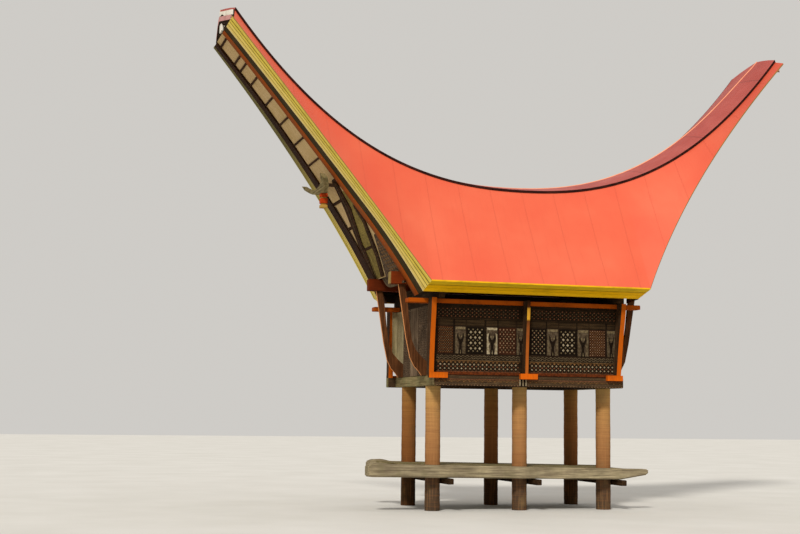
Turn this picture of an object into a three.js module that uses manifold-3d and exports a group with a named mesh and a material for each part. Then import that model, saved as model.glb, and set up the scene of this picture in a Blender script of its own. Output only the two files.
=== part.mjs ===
// A rice barn in tongkonan form: six round posts, a sitting platform, a carved box and a saddle roof
// with two long rising prows. Millimetres, +Z up. X runs along the ridge, -Y is the side that shows in full.
// The origin lies on the ground halfway between the two tips. Lengths along X are written from the middle of
// the box. The left prow is the longer one, so the finished house moves over to the right at the end.
import * as THREE from 'three';
import { mergeVertices } from 'three/addons/utils/BufferGeometryUtils.js';
import Module from 'manifold-3d';

const wasm = await Module();
wasm.setup();

// Clearance that touching pieces keep
const gap = 0.3;

// Posts
const postR = 190;
const postSides = 24;
const postPitch = 2285;
const postY = 1057;

// Floor frame
const sillBottom = 3060;
const sillTop = 3310;
const sillHalfX = 2500;
const sillOuterY = 1834;
const sillWidth = 215;
const farSillEnd = 200;
const bearerWidth = 200;
const bearerShare = 0.87;
const floorThick = 40;

// Walls of the box
const wallOuterY = 1720;
const wallOuterX = 2450;
const wallThick = 50;
const plateBottom = 5070;
const plateTop = 5180;
const plateOuterY = 1756;
const plateInnerY = 1450;
const plateEnds = [-3144, 3023];

// The far wall's left end runs on past the corner, cut away below
const farWallEnd = [[-2580, 3900], [-wallOuterX, 3650]];

// Timbers above the plates
const tieTop = 5560;
const tieWidth = 170;
const tieX = 2376;
const beamHeight = 310;
const beamWidth = 240;
const beamHalfX = 3440;

// Brackets of the long sides: the board's middle at foot and top, its thickness, the ends of its foot block
const sideBracketPlaces = [
  ['left', -2605, -2580, 120, -2638, -2190],
  ['middle', -140, -130, 79, -299, 148],
  ['right', 2330, 2430, 118, 2019, 2440],
];
const bracketFoot = 3375;
const footBottom = 3240;
const footDepth = 110;
const bracketCurve = [[1935, bracketFoot + 2], [1955, 3900], [1990, 4400], [2040, 4850], [2055, plateTop]];

// Curved brackets of the ends, in X and Z
const endBracketThick = 70;
const endBracketOuter = [
  [2600, sillTop + gap], [2665, 3408], [2790, 3540], [2900, 3752], [3004, 4231], [3065, 4604],
  [3154, 5207], [3215, tieTop],
];
const endBracketInner = [
  [3045, tieTop], [2981, 5171], [2923, 4626], [2854, 4181], [2748, 3936], [2591, 3766],
  [wallOuterX + gap, 3650], [wallOuterX + gap, sillTop + gap],
];

// Roof: the folded ridge cap, the eave corner, and the gable edge that runs from there to the prow's tip
const capEdgeMid = 8083;
const capCurve = [31.5, 7.52, -0.244];
const capRise = 250;
const capHalf = 1170;
const capThick = 60;
const eaveX = 2855;
const eaveY = 2690;
const eaveZ = 5508;
const gableRise = [5977, 312];
const reachCurves = { left: [3922, 775], right: [3165, 1332] };
const halfCurve = [-2224, 1049];
const tipLean = 0.25;
const noseOut = 210;
const kneeY = 790;
const kneeDown = 300;
const kneeOver = 110;
const rootDepth = [450, -110];

// The flat board under the cut edge of the thick roof: how far it runs inward and down, along the prow and
// more at the eave corner
const boardThick = 35;
const cutIn = [573, -18];
const cutDown = [39, 70];
const eaveCutIn = 127;
const eaveCutDown = 161;
const eaveCutEnd = 0.3;

// The dark rafter board inside it, and the panel set back between the two rafter boards
const rafterIn = [710, -270];
const rafterDown = 50;
const rafterThick = 55;
const panelRecess = 60;
const panelThick = 40;
const panelClearance = 1.8;
const panelBase = tieTop + beamHeight;

// The timber that lies across under each prow, curved up at its ends, and the block that hangs from it
const apexBottom = 7900;
const apexThicks = { left: 400, right: 200 };
const apexUnder = [[0, apexBottom], [450, 7930], [800, 8010], [1060, 8130]];
const apexOver = [[1060, 8230], [800, 8120], [450, 8045], [0, 8015]];
const blockInset = 100;
const blockTiers = [[90, 0, -90], [65, -90, -125], [90, -125, -255], [65, -255, -290], [90, -290, -370]];

// Platform
const plankLeft = -4060;
const plankRight = 3310;
const farPlankLeft = -3300;
const plankTopLeft = 1150;
const plankTopRight = 1030;
const plankBottomLeft = 840;
const plankBottomRight = 765;
const plankWidth = 350;
const deckThick = 60;
const crossWidth = 140;
const crossDrop = 140;
const crossStub = 1760;

const paint = (color, roughness, metalness = 0) =>
  new THREE.MeshStandardMaterial({ color, roughness, metalness });
const roofRed = paint(0xf2644c, 0.45, 0.2);
const edgeYellow = paint(0xc9b04a, 0.7);
const eaveOlive = paint(0x9a8420, 0.75);
const orange = paint(0xc25a14, 0.7);
const carved = paint(0x5a4032, 0.85);
const greyTimber = paint(0x8a8272, 0.9);
const darkTimber = paint(0x3a2a20, 0.9);
const postWood = paint(0xa86a48, 0.85);
const woven = paint(0xb5a272, 0.9);

const house = new THREE.Group();

function add(name, geometry, material) {
  const mesh = new THREE.Mesh(geometry, material);
  mesh.name = name;
  house.add(mesh);
  return mesh;
}

// A block between two corners
function box(low, high) {
  const size = high.map((v, i) => v - low[i]);
  return new THREE.BoxGeometry(...size).translate(...low.map((v, i) => v + size[i] / 2));
}

const block = (name, low, high, material) => add(name, box(low, high), material);

// Sections of equal point count joined along a path, closed at both ends, faces out
function loft(sections) {
  const count = sections[0].length;
  const points = sections.flat();
  const index = [];
  for (let s = 0; s + 1 < sections.length; s++) {
    for (let i = 0; i < count; i++) {
      const a = s * count + i;
      const b = s * count + (i + 1) % count;
      index.push(a, b, b + count, a, b + count, a + count);
    }
  }
  const flat = sections[0].map((p) => new THREE.Vector2(p.y, p.z));
  const last = (sections.length - 1) * count;
  const turned = THREE.ShapeUtils.isClockWise(flat);
  for (const face of THREE.ShapeUtils.triangulateShape(flat, [])) {
    const [a, b, c] = turned ? face.reverse() : face;
    index.push(a, c, b);
    index.push(last + a, last + b, last + c);
  }
  return outward(points, index);
}

function outward(points, index) {
  let volume = 0;
  for (let i = 0; i < index.length; i += 3) {
    const [a, b, c] = [points[index[i]], points[index[i + 1]], points[index[i + 2]]];
    volume += a.dot(new THREE.Vector3().crossVectors(b, c));
  }
  if (volume < 0) index.reverse();
  const geometry = new THREE.BufferGeometry().setFromPoints(points);
  geometry.setIndex(index);
  geometry.computeVertexNormals();
  return geometry;
}

// An outline in the Y-Z plane given thickness along X, or one in the X-Z plane given thickness along Y
function slabAcross(name, outline, x0, x1, material) {
  return add(name, loft([x0, x1].map((x) => outline.map(([y, z]) => new THREE.Vector3(x, y, z)))), material);
}

function slabAlong(name, outline, y0, y1, material) {
  const shape = new THREE.Shape(outline.map(([x, z]) => new THREE.Vector2(x, z)));
  const geometry = new THREE.ExtrudeGeometry(shape, { depth: y1 - y0, bevelEnabled: false });
  geometry.rotateX(Math.PI / 2);
  geometry.translate(0, y1, 0);
  return add(name, geometry, material);
}

function solid(geometry) {
  const bare = geometry.clone();
  bare.deleteAttribute('normal');
  bare.deleteAttribute('uv');
  const merged = mergeVertices(bare);
  const vertProperties = new Float32Array(merged.attributes.position.array);
  const triVerts = new Uint32Array(merged.index.array);
  return new wasm.Manifold(new wasm.Mesh({ numProp: 3, vertProperties, triVerts }));
}

function fromSolid(body) {
  const mesh = body.getMesh();
  const geometry = new THREE.BufferGeometry();
  geometry.setAttribute('position', new THREE.BufferAttribute(mesh.vertProperties, 3));
  geometry.setIndex(new THREE.BufferAttribute(mesh.triVerts, 1));
  geometry.computeVertexNormals();
  return geometry;
}

// Roof shape

const capEdge = (x) => {
  const m = Math.abs(x) / 1000;
  return capEdgeMid + capCurve[0] * m ** 2 + capCurve[1] * m ** 3 + capCurve[2] * m ** 4;
};

// Length, half width and height of the roof at the gable edge: t is 0 at the eave corner and 1 at the tip
const gableReach = (t, [a, b]) => eaveX + a * t + b * t ** 2;
const gableHalf = (t) => eaveY + halfCurve[0] * t + halfCurve[1] * t ** 2;
const gableLevel = (t) => eaveZ + gableRise[0] * t + gableRise[1] * t ** 2;
const atCorner = (t) => Math.max(0, 1 - t / eaveCutEnd) ** 2;
const cutDrop = (t) => cutDown[0] + cutDown[1] * t + eaveCutDown * atCorner(t);

// A station of the roof: where its section stands and how its points are placed. The very tip leans more, and
// there the ridge runs out past the corners of the cap
function station(t, side, share = 0) {
  const x = t > 0 ? side * gableReach(t, reachCurves[side < 0 ? 'left' : 'right']) : share * eaveX;
  const yg = gableHalf(t);
  const zg = gableLevel(t);
  const lean = side * tipLean * (t + t ** 6);
  const capLean = side * tipLean * t;
  const nose = side * noseOut * t ** 12;
  let zr = capEdge(x);
  for (let i = 0; i < 20; i++) zr = capEdge(x + capLean * (zg - zr));
  const dy = cutIn[0] + cutIn[1] * t + eaveCutIn * atCorner(t);
  const dz = cutDrop(t);
  const inward = rafterIn[0] + rafterIn[1] * t;
  const root = rootDepth[0] + rootDepth[1] * t;
  const below = (y, z) => x + lean * (zg - z);
  const above = (y, z) => x + capLean * (zg - Math.min(z, zr)) + nose * Math.max(0, 1 - Math.abs(y) / capHalf);
  const at = (y, z) => new THREE.Vector3(z > zg ? above(y, z) : below(y, z), y, z);
  return { t, side, yg, zg, zr, dy, dz, inward, root, at };
}

const steps = (n, from = 0, to = 1) => Array.from({ length: n + 1 }, (_, i) => from + (to - from) * i / n);
const lowerSteps = 6;
const upperSteps = 7;
const middleSteps = 10;

// The t at which the low edge of the rafter boards has risen to a level
function startAt(level) {
  let [low, high] = [0, 1];
  for (let i = 0; i < 30; i++) {
    const t = (low + high) / 2;
    if (gableLevel(t) - cutDrop(t) - rafterDown < level) low = t;
    else high = t;
  }
  return high;
}

const panelStart = startAt(panelBase + gap - panelRecess);
const apexStart = startAt(apexBottom - 40);
const prowPlaces = [...steps(lowerSteps, panelStart, apexStart), ...steps(upperSteps, apexStart).slice(1)];

const prow = (side, from) => prowPlaces.filter((t) => t >= from).map((t) => station(t, side));
const middle = steps(middleSteps, -1, 1).map((share) => station(0, share < 0 ? -1 : 1, share));
const wholeRoof = [...prow(-1, 0).reverse(), ...middle, ...prow(1, 0)];

// Outlines of the roof pieces at a station, on the +Y side when the hand is 1
const slopeOutline = (p) => [
  [gap / 2, p.zr + capRise - capThick - gap],
  [capHalf, p.zr - capThick - gap],
  [p.yg, p.zg + boardThick + gap],
  [p.yg - p.dy, p.zg - p.dz + boardThick + gap],
  [kneeY, Math.max(p.zr - kneeDown, p.zg - p.dz + kneeOver)],
  [gap / 2, p.zr + capRise - p.root],
];
const edgeOutline = (p) => [
  [p.yg, p.zg],
  [p.yg, p.zg + boardThick],
  [p.yg - p.dy, p.zg - p.dz + boardThick],
  [p.yg - p.dy, p.zg - p.dz],
];
const rafterOutline = (p) => {
  const y = p.yg - p.dy - gap;
  const z = p.zg - p.dz;
  const top = z - rafterDown + panelRecess + panelThick;
  return [
    [y, z + boardThick],
    [y, z],
    [y - p.inward, z - rafterDown],
    [y - p.inward, top],
    [y - p.inward + rafterThick, top],
  ];
};
const panelOutline = (p) => {
  const z = p.zg - p.dz - rafterDown + panelRecess;
  const y = p.yg - p.dy - p.inward - panelClearance;
  return [[-y, z], [y, z], [y, z + panelThick], [-y, z + panelThick]];
};
const capOutline = (p) => [
  [-capHalf, p.zr - capThick],
  [0, p.zr + capRise - capThick],
  [capHalf, p.zr - capThick],
  [capHalf, p.zr],
  [0, p.zr + capRise],
  [-capHalf, p.zr],
];

// Stations run from left to right and outlines turn the same way, so that pieces that touch have matching facets
function roofPiece(name, stations, outline, hand, material) {
  const sections = stations.map((p) => outline(p).map(([y, z]) => p.at(hand * y, z)));
  if (stations[0].side < 0 && stations.at(-1).side < 0) sections.reverse();
  if (hand < 0) sections.forEach((section) => section.reverse());
  add(name, loft(sections), material);
}

const sides = [['near', -1], ['far', 1]];
const ends = [['left', -1], ['right', 1]];

// The stations of one half of the ridge cap, from the joint in the middle to the tip
function capHalfway(side) {
  const between = side < 0 ? middle.slice(0, middleSteps / 2).reverse() : middle.slice(middleSteps / 2 + 1);
  return [station(0, side, side * gap / 2 / eaveX), ...between, ...prow(side, 0)];
}

function roof() {
  for (const [sideName, hand] of sides) {
    roofPiece(`roof_slope_${sideName}`, wholeRoof, slopeOutline, hand, roofRed);
    roofPiece(`eave_board_${sideName}`, [middle[0], middle.at(-1)], edgeOutline, hand, eaveOlive);
    for (const [endName, side] of ends) {
      const gable = [station(gap / reachCurves[endName][0], side), ...prow(side, 0)];
      roofPiece(`edge_board_${endName}_${sideName}`, gable, edgeOutline, hand, edgeYellow);
      roofPiece(`rafter_board_${endName}_${sideName}`, gable, rafterOutline, hand, darkTimber);
    }
  }
  for (const [endName, side] of ends) {
    roofPiece(`ridge_cap_${endName}`, capHalfway(side), capOutline, 1, roofRed);
    roofPiece(`gable_panel_${endName}`, prow(side, panelStart), panelOutline, 1, woven);
    apex(endName, side);
  }
}

// A curved timber lies across under the two rafter boards of a prow, and a block hangs from its middle
function apex(endName, side) {
  const [p, q] = prow(side, apexStart).map((s) => s.at(0, s.zg - s.dz - rafterDown));
  const slope = (q.x - p.x) / (q.z - p.z);
  const half = [...apexUnder, ...apexOver];
  const mirrored = half.map(([y, z]) => [-y, z]).reverse().slice(1, -1);
  const face = (out) => [...half, ...mirrored].map(
    ([y, z]) => new THREE.Vector3(p.x + slope * (z - p.z) + side * out, y, z));
  const thick = apexThicks[endName];
  add(`apex_timber_${endName}`, loft([face(gap), face(thick)]), greyTimber);
  const top = apexBottom - gap;
  const x = p.x + slope * (top - p.z) + side * (thick - blockInset);
  const tiers = blockTiers.map(([r, high, low]) => solid(box([x - r, -r, top + low], [x + r, r, top + high])));
  add(`hanging_block_${endName}`, fromSolid(tiers.reduce((sum, tier) => sum.add(tier))), orange);
}

// Posts stand on the ground and carry the bearers
function posts() {
  for (const [sideName, hand] of sides) {
    for (const [place, i] of [['left', -1], ['middle', 0], ['right', 1]]) {
      const height = sillBottom - gap;
      const geometry = new THREE.CylinderGeometry(postR, postR, height, postSides);
      geometry.rotateX(Math.PI / 2);
      const mesh = add(`post_${place}_${sideName}`, geometry, postWood);
      mesh.position.set(i * postPitch, hand * postY, height / 2);
    }
  }
}

// Long sills, end sills between them, bearers over the posts, and the floor boards
function floorFrame() {
  const innerY = sillOuterY - sillWidth;
  for (const [sideName, hand] of sides) {
    const [y0, y1] = [hand * innerY, hand * sillOuterY].sort((a, b) => a - b);
    const x0 = -sillHalfX - (hand > 0 ? farSillEnd : 0);
    block(`sill_${sideName}`, [x0, y0, sillBottom], [sillHalfX, y1, sillTop], carved);
  }
  for (const [endName, side] of ends) {
    const [x0, x1] = [side * sillHalfX, side * (sillHalfX - sillWidth)].sort((a, b) => a - b);
    block(`end_sill_${endName}`, [x0, gap - innerY, sillBottom], [x1, innerY - gap, sillTop], greyTimber);
  }
  for (const [place, i] of [['left', -bearerShare], ['middle', 0], ['right', bearerShare]]) {
    const x = i * postPitch;
    block(`bearer_${place}`, [x - bearerWidth / 2, gap - innerY, sillBottom],
      [x + bearerWidth / 2, innerY - gap, sillTop], darkTimber);
  }
  const half = wallOuterX - wallThick - gap;
  const halfY = wallOuterY - wallThick - gap;
  block('floor', [-half, -halfY, sillTop + gap], [half, halfY, sillTop + gap + floorThick], greyTimber);
}

// Four board walls, and the plates that lie on the long ones
function walls() {
  const bottom = sillTop + gap;
  const top = plateBottom - gap;
  const innerY = wallOuterY - wallThick - gap;
  for (const [sideName, hand] of sides) {
    const [y0, y1] = [hand * wallOuterY, hand * (wallOuterY - wallThick)].sort((a, b) => a - b);
    const leftEnd = hand < 0 ? [[-wallOuterX, top]] : [[farWallEnd[0][0], top], ...farWallEnd];
    const face = [[-wallOuterX, bottom], [wallOuterX, bottom], [wallOuterX, top], ...leftEnd];
    slabAlong(`wall_${sideName}`, face, y0, y1, carved);
    const [p0, p1] = [hand * plateOuterY, hand * plateInnerY].sort((a, b) => a - b);
    block(`plate_${sideName}`, [plateEnds[0], p0, plateBottom], [plateEnds[1], p1, plateTop], orange);
  }
  const shoulder = plateInnerY - gap;
  const outline = [
    [-innerY, bottom], [innerY, bottom], [innerY, top], [shoulder, top],
    [shoulder, plateTop], [-shoulder, plateTop], [-shoulder, top], [-innerY, top],
  ];
  for (const [endName, side] of ends) {
    const faces = [side * wallOuterX, side * (wallOuterX - wallThick)].sort((a, b) => a - b);
    slabAcross(`wall_${endName}`, outline, faces[0], faces[1], greyTimber);
  }
}

// Ties lie on the plates and carry the roof slopes on their bevelled ends. Two long beams lie on the ties
function roofTimbers() {
  for (const [endName, side] of ends) {
    const x = side * tieX;
    const p = station(0, side, (x - side * tieWidth / 2) / eaveX);
    const foot = p.yg - p.dy - gap;
    const low = p.zg - p.dz + boardThick;
    const slope = (p.zr - kneeDown - low) / (foot - kneeY);
    const topY = foot - (tieTop - low) / slope - gap;
    const outline = [
      [-foot, plateTop + gap], [foot, plateTop + gap], [foot, low - gap], [topY, tieTop],
      [-topY, tieTop], [-foot, low - gap],
    ];
    slabAcross(`tie_${endName}`, outline, x - tieWidth / 2, x + tieWidth / 2, darkTimber);
  }
  for (const [sideName, hand] of sides) {
    const y = hand * postY;
    block(`long_beam_${sideName}`, [-beamHalfX, y - beamWidth / 2, tieTop + gap],
      [beamHalfX, y + beamWidth / 2, tieTop + beamHeight], darkTimber);
  }
}

// Curved brackets: on the long sides they stand on foot blocks and end level with the plate that they clasp
function sideBracketOutline(hand) {
  const inner = [
    [plateOuterY + gap, plateTop], [plateOuterY + gap, plateBottom - gap],
    [wallOuterY + gap, plateBottom - gap], [wallOuterY + gap, sillTop + gap],
    [sillOuterY + gap, sillTop + gap], [sillOuterY + gap, footBottom],
    [sillOuterY + footDepth, footBottom], [sillOuterY + footDepth, bracketFoot],
  ];
  return [...bracketCurve, ...inner].map(([y, z]) => [hand * y, z]);
}

function sideBrackets() {
  for (const [sideName, hand] of sides) {
    const outline = sideBracketOutline(hand);
    const footY = [hand * (sillOuterY + gap), hand * (sillOuterY + footDepth)].sort((a, b) => a - b);
    for (const [place, low, high, thick, footLeft, footRight] of sideBracketPlaces) {
      const lean = (high - low) / (plateTop - bracketFoot);
      const face = (x) => outline.map(([y, z]) => new THREE.Vector3(x + lean * (z - bracketFoot), y, z));
      const board = solid(loft([face(low - thick / 2), face(low + thick / 2)]));
      const foot = solid(box([footLeft, footY[0], footBottom], [footRight, footY[1], bracketFoot]));
      add(`bracket_${place}_${sideName}`, fromSolid(board.add(foot)), orange);
    }
  }
}

// On the ends, thin curved boards stand on the end sills against the wall and lean out to the long beams
function endBrackets() {
  const half = endBracketThick / 2;
  for (const [sideName, hand] of sides) {
    const y = hand * postY;
    for (const [endName, side] of ends) {
      const points = [...endBracketOuter, ...endBracketInner].map(([x, z]) => [side * x, z]);
      slabAlong(`end_bracket_${endName}_${sideName}`, points, y - half, y + half, carved);
    }
  }
}

// Platform: thick outer planks, cross beams beside the posts and a deck between the planks
const along = (x, left, right) => left + (right - left) * (x - plankLeft) / (plankRight - plankLeft);

const plankOutline = (left) => [
  [left, plankBottomLeft + 10],
  [left + 120, plankBottomLeft],
  [plankRight - 780, along(plankRight - 780, plankBottomLeft, plankBottomRight)],
  [plankRight - 60, plankTopRight - 140],
  [plankRight, plankTopRight - 60],
  [plankRight - 30, plankTopRight],
  [left + 620, along(left + 620, plankTopLeft, plankTopRight)],
  [left + 380, plankTopLeft + 30],
  [left + 130, plankTopLeft + 20],
  [left, plankTopLeft - 30],
];

function platform() {
  const inner = postY + postR + gap;
  slabAlong('platform_plank_near', plankOutline(plankLeft), -inner - plankWidth, -inner, greyTimber);
  slabAlong('platform_plank_far', plankOutline(farPlankLeft), inner, inner + plankWidth, greyTimber);
  const deckEnds = [farPlankLeft + 200, plankRight - 560];
  const deck = [
    [deckEnds[0], along(deckEnds[0], plankTopLeft, plankTopRight)],
    [deckEnds[1], along(deckEnds[1], plankTopLeft, plankTopRight)],
  ];
  const deckShape = [
    deck[0], deck[1], [deck[1][0], deck[1][1] - deckThick], [deck[0][0], deck[0][1] - deckThick],
  ];
  const shape = new THREE.Shape(deckShape.map(([x, z]) => new THREE.Vector2(x, z)));
  const board = new THREE.ExtrudeGeometry(shape, { depth: 2 * (inner - gap), bevelEnabled: false });
  board.rotateX(Math.PI / 2);
  board.translate(0, inner - gap, 0);
  let cut = solid(board);
  for (const hand of [-1, 1]) {
    for (const i of [-1, 0, 1]) {
      const hole = new THREE.CylinderGeometry(postR + gap, postR + gap, 2 * plankTopLeft, postSides);
      hole.rotateX(Math.PI / 2);
      hole.translate(i * postPitch, hand * postY, plankTopLeft);
      cut = cut.subtract(solid(hole));
    }
  }
  add('deck', fromSolid(cut), greyTimber);
  for (const [place, i] of [['left', -1], ['middle', 0], ['right', 1]]) {
    const x = i * postPitch + postR + gap;
    const under = along(x + crossWidth, plankBottomLeft, plankBottomRight) - 12;
    const top = along(x + crossWidth, plankTopLeft, plankTopRight) - deckThick - gap;
    const y = inner - gap;
    const section = [
      [-crossStub, under - crossDrop], [crossStub, under - crossDrop], [crossStub, under], [y, under],
      [y, top], [-y, top], [-y, under], [-crossStub, under],
    ];
    slabAcross(`cross_beam_${place}`, section, x, x + crossWidth, darkTimber);
  }
}

posts();
floorFrame();
walls();
roofTimbers();
sideBrackets();
endBrackets();
platform();
roof();

const span = new THREE.Box3().setFromObject(house);
house.children.forEach((mesh) => mesh.position.x -= (span.min.x + span.max.x) / 2);

export default house;
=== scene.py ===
"""A rice barn in tongkonan form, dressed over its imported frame: roof, carved box, posts and platform."""
import math

import bmesh
import bpy
from mathutils import Matrix, Vector


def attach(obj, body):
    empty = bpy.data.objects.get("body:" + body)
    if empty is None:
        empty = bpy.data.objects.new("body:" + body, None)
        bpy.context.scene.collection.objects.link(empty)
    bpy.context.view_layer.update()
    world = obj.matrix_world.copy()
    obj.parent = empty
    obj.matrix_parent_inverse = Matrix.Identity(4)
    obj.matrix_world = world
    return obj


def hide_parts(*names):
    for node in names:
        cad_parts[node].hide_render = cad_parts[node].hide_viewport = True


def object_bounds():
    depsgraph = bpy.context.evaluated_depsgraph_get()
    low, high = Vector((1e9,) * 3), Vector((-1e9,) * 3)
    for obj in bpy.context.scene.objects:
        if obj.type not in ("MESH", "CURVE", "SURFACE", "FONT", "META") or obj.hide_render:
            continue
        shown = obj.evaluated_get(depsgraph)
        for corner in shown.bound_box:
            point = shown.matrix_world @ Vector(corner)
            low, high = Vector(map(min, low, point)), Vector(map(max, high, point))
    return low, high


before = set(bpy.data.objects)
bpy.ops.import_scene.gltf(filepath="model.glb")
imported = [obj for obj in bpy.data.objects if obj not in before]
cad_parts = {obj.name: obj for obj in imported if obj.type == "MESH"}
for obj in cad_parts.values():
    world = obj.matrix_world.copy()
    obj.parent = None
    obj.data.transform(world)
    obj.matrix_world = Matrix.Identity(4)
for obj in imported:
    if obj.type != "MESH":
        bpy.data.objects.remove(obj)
cad_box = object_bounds()

# Sizes are in metres. X is written from the middle of the box, a little right of the roof's middle
post_x = [v.co.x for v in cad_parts["post_middle_near"].data.vertices]
MIDDLE_X = Vector(((min(post_x) + max(post_x)) / 2, 0.0, 0.0))
GAP = 0.0003

# Roof, with the solids' sizes. A curve's numbers are for t and t squared, and the cap's for X squared and on
CAP_MID, CAP_RISE, CAP_HALF, CAP_THICK = 8.083, 0.25, 1.17, 0.06
CAP_CURVE = (0.0315, 0.00752, 0.000244)
EAVE_X, EAVE_Y, EAVE_Z = 2.855, 2.69, 5.508
REACH = {-1: (3.922, 0.775), 1: (3.165, 1.332)}
EDGE_IN, EDGE_UP = (2.224, 1.049), (5.977, 0.312)
LEAN, CORNER_END = 0.25, 0.3
BOARD, RAFTER_DROP, RECESS, PANEL_THICK = 0.035, 0.05, 0.06, 0.04
# Edge boards: their width and their fall, how much each changes with t, and what the corner adds
EDGE_WIDE, EDGE_FALL = (0.573, 0.018, 0.127), (0.039, 0.07, 0.161)
# Width of the rafter boards and thickness of the roof at the ridge, and how much each shrinks with t
RAFTER_WIDE, RIDGE_THICK = (0.71, 0.27), (0.45, 0.11)
# How far the ridge stands out at a tip, and where the roof and its underside end on each prow
NOSE = {-1: 0.2099, 1: 0.125}
SHEET_END = {-1: 1.0, 1: 1.013}
BOARD_END = {-1: 1.007, 1: 1.013}
TIP_X = {side: abs(end[0] - MIDDLE_X.x) - 0.0005 for side, end in zip((-1, 1), cad_box)}

# Box, sills, posts and platform
WALL_Y, WALL_X, SILL_Y, SILL_LOW = 1.72, 2.45, 1.834, 3.06
POST_R, POST_PITCH, POST_Y = 0.19, 2.285, 1.057
BRACKET_LOW, BRACKET_TALL = 3.24, 1.94
CLAD_LOW, CLAD_HIGH = 3.32, 5.055
PANEL_LOW, PANEL_HIGH = 3.846, 4.512
BEAM_TOP = 5.87
# How deep a carved piece is set into its board
SUNK = 0.004

SIDES, ENDS, PLACES = (("near", -1), ("far", 1)), (("left", -1), ("right", 1)), ("left", "middle", "right")
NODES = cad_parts


# ---- finishes ----

def colour(code):
    """A linear colour from its hex code."""
    def linear(v):
        return v / 12.92 if v <= 0.04045 else ((v + 0.055) / 1.055) ** 2.4
    return tuple(linear(int(code[i:i + 2], 16) / 255) for i in (0, 2, 4)) + (1.0,)


class Finish:
    """A material made from nodes on Object coordinates or on the piece's own UV map."""

    def __init__(self, name, gloss=0.04):
        self.material = bpy.data.materials.new(name)
        self.material.use_nodes = True
        self.nodes, self.links = self.material.node_tree.nodes, self.material.node_tree.links
        self.shader = self.nodes["Principled BSDF"]
        self.put(self.shader.inputs["Metallic"], 0.0)
        self.put(self.shader.inputs["Specular IOR Level"], gloss)
        where = self.nodes.new("ShaderNodeTexCoord")
        from_middle = self.node("VectorMath", {0: where.outputs["Object"], 1: MIDDLE_X}, operation="SUBTRACT")
        self.place, self.uv, self.base = from_middle.outputs[0], where.outputs["UV"], None

    def put(self, socket, value):
        """Links or sets an input. A tone is given by its hex code."""
        if isinstance(value, bpy.types.NodeSocket):
            self.links.new(value, socket)
        else:
            socket.default_value = colour(value) if isinstance(value, str) else value

    def node(self, kind, inputs, **settings):
        made = self.nodes.new("ShaderNode" + kind)
        for key, value in settings.items():
            setattr(made, key, value)
        for key, value in inputs.items():
            self.put(made.inputs[key], value)
        return made

    def math(self, kind, *values):
        return self.node("Math", dict(enumerate(values)), operation=kind).outputs[0]

    def part(self, vector, axis):
        return self.node("SeparateXYZ", {0: vector}).outputs[axis]

    def noise(self, scale, detail=3.0, rough=0.55, stretch=None, where=None):
        vector = self.place if where is None else where
        if stretch:
            vector = self.node("Mapping", {"Vector": vector, "Scale": stretch}).outputs[0]
        inputs = {"Vector": vector, "Scale": scale, "Detail": detail, "Roughness": rough}
        return self.node("TexNoise", inputs).outputs["Fac"]

    def ramp(self, factor, stops, sharp=False):
        """Tones or numbers at places along a factor, written as a place and a tone in turn."""
        made = self.node("ValToRGB", {0: factor})
        band = made.color_ramp
        band.interpolation = "CONSTANT" if sharp else "LINEAR"
        places, tones = stops.split()[::2], stops.split()[1::2]
        while len(band.elements) < len(places):
            band.elements.new(1.0)
        for element, place, tone in zip(band.elements, places, tones):
            element.position = float(place)
            element.color = 3 * (float(tone),) + (1.0,) if "." in tone else colour(tone)
        return made.outputs[0]

    def mix(self, factor, a, b, kind="MIX"):
        return self.node("Mix", {0: factor, 6: a, 7: b}, data_type="RGBA", blend_type=kind).outputs[2]

    def wear(self, factor, low, high, amount, tone):
        """Another tone comes through by the given amount, as a factor passes from low to high."""
        self.base = self.mix(self.ramp(factor, f"{low} 0.0 {high} {amount}"), self.base, tone)

    def every(self, value, pitch, width):
        """1 on lines of the given width that come once a pitch, and 0 between them."""
        turn = self.math("FRACT", self.math("DIVIDE", self.math("ADD", value, 1000 * pitch), pitch))
        return self.math("LESS_THAN", turn, width / pitch)

    def done(self, factor, dull, sleek, height, depth):
        """Roughness goes from dull to sleek with a factor, and the bump follows a height."""
        bump = self.node("Bump", {"Strength": 1.0, "Distance": depth, "Height": height})
        rough = self.ramp(factor, f"0.2 {dull} 0.8 {sleek}")
        for socket, value in (("Base Color", self.base), ("Roughness", rough), ("Normal", bump.outputs[0])):
            self.put(self.shader.inputs[socket], value)
        return self.material


def grain(axis, along=0.25, across=4.0):
    """A stretch that draws noise out along one axis."""
    return tuple(along if i == int(axis) else across for i in range(3))


def weathered_timber(name, axis, pale, mid, dark, moss=None):
    """Bare or stained timber with its grain along one axis."""
    f = Finish(name)
    fibre = f.noise(6.0, 6.0, 0.65, grain(axis))
    f.base = f.ramp(fibre, f"0.3 {dark} 0.5 {mid} 0.68 {pale}")
    f.wear(f.noise(1.7), 0.35, 0.65, 0.55, dark)
    if moss:
        f.wear(f.noise(3.1, 4.0), 0.5, 0.68, 0.5, moss)
    crack = f.ramp(f.noise(6.0, 2.0, stretch=grain(axis, 0.1, 9.0)), "0.3 0.0 0.36 1.0")
    f.base = f.mix(crack, dark, f.base)
    return f.done(fibre, 0.95, 0.72, f.math("ADD", fibre, f.math("MULTIPLY", crack, 0.5)), 0.008)


def painted_board(name, axis, body, worn, dirt):
    """Paint on a sawn board: brush marks along it, dirt in patches and rubbed places."""
    f = Finish(name)
    brush = f.noise(5.0, 4.0, 0.6, grain(axis, 0.5, 9.0))
    f.base = body
    f.wear(brush, 0.42, 0.72, 0.75, worn)
    f.wear(f.noise(2.3, 4.0), 0.48, 0.72, 0.6, dirt)
    return f.done(brush, 0.82, 0.62, brush, 0.003)


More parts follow.
